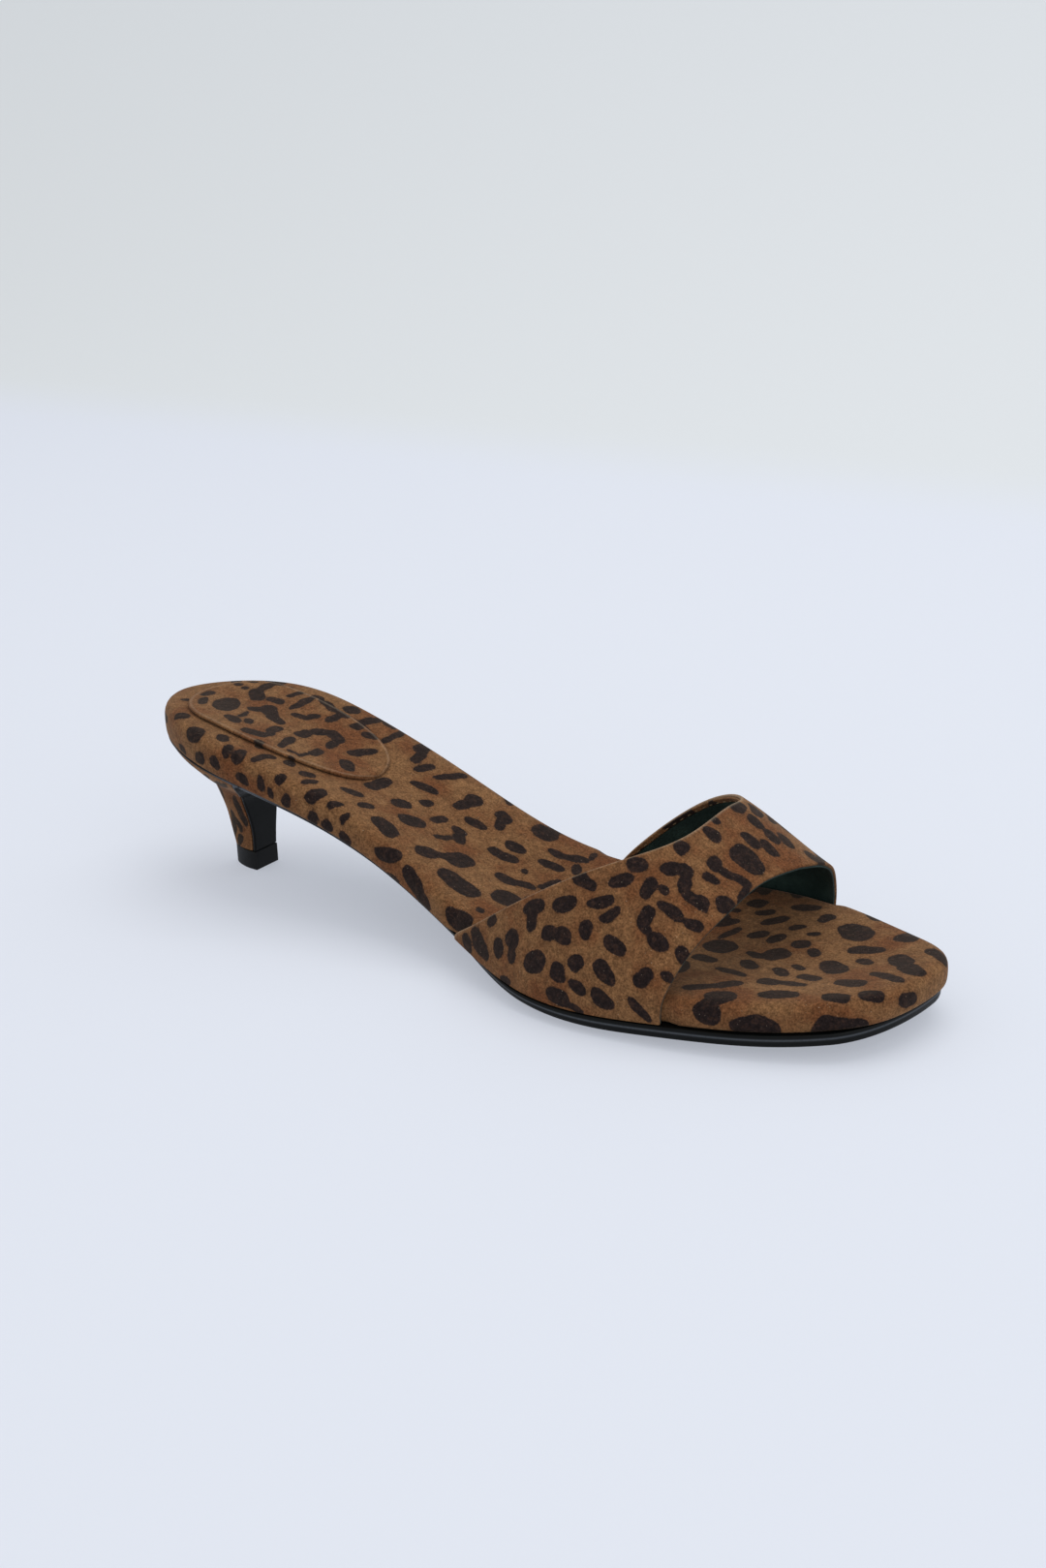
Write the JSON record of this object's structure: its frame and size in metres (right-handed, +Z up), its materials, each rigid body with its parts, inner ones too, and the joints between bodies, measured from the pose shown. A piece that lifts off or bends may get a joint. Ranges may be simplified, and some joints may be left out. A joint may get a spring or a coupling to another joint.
{
  "type": "heeled mule",
  "caption": "Open-toe, open-back heeled mule for the right foot: one wide vamp band over a wrapped footbed with a heel sock, thin black outsole, low flared heel.",
  "frame": {"origin": "on the floor, under the middle of the shoe's box", "axes": "+X from heel to toe, +Y to the inner side of the right foot, +Z up; the shoe stands on the floor at z = 0"},
  "size_m": [0.2494, 0.0836, 0.0536],
  "materials": {
    "printed_suede": "tan suede with a dark brown leopard print",
    "black_sole": "smooth black sole leather with a soft sheen",
    "black_rubber": "matte black heel tip"
  },
  "bodies": {
    "root": {"outsole": "black_sole", "heel": "printed_suede", "top_piece": "black_rubber", "footbed": "printed_suede", "heel_sock": "printed_suede", "vamp": "printed_suede"}
  },
  "joints": []
}
